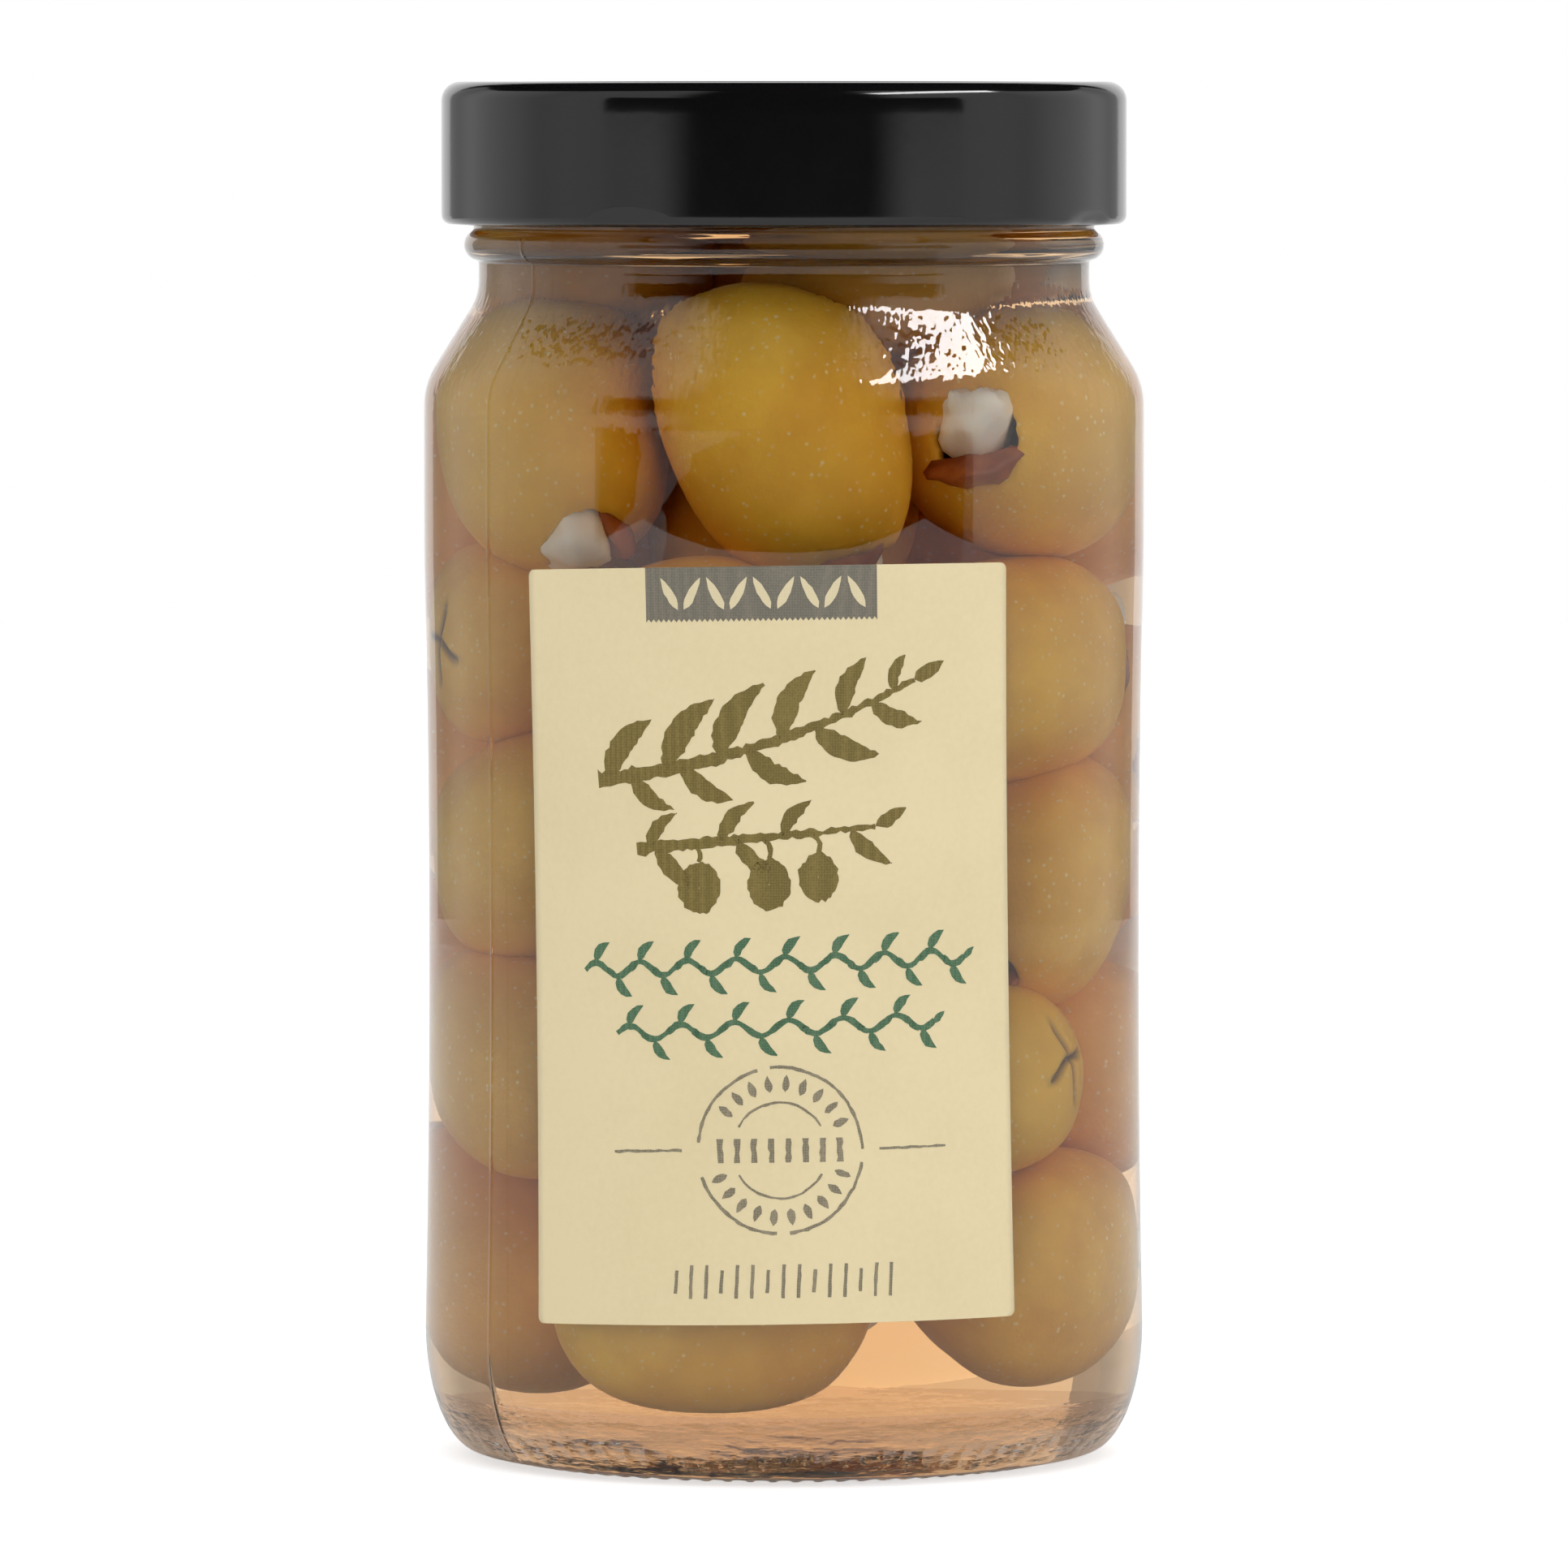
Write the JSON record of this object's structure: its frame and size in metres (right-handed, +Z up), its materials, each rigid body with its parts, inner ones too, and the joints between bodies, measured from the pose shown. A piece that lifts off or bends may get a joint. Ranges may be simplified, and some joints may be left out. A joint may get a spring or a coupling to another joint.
{
  "type": "jar of olives",
  "caption": "Round glass grocery jar of large stuffed green olives in brine, with a paper front label, shut by a black twist-off metal lid.",
  "frame": {"origin": "middle of the base, on the surface that the jar stands on", "axes": "+Z up along the jar's axis, the label faces -Y, +X is to the right of someone who reads the label"},
  "size_m": [0.0766, 0.0767, 0.1462],
  "materials": {
    "clear_glass": "gloss",
    "black_lacquer": "gloss",
    "label_paper": "matte",
    "olive_flesh": "satin"
  },
  "bodies": {
    "root": {"glass_jar": "clear_glass", "lid": "black_lacquer", "label": "label_paper", "olives_in_brine": "olive_flesh"}
  },
  "joints": []
}
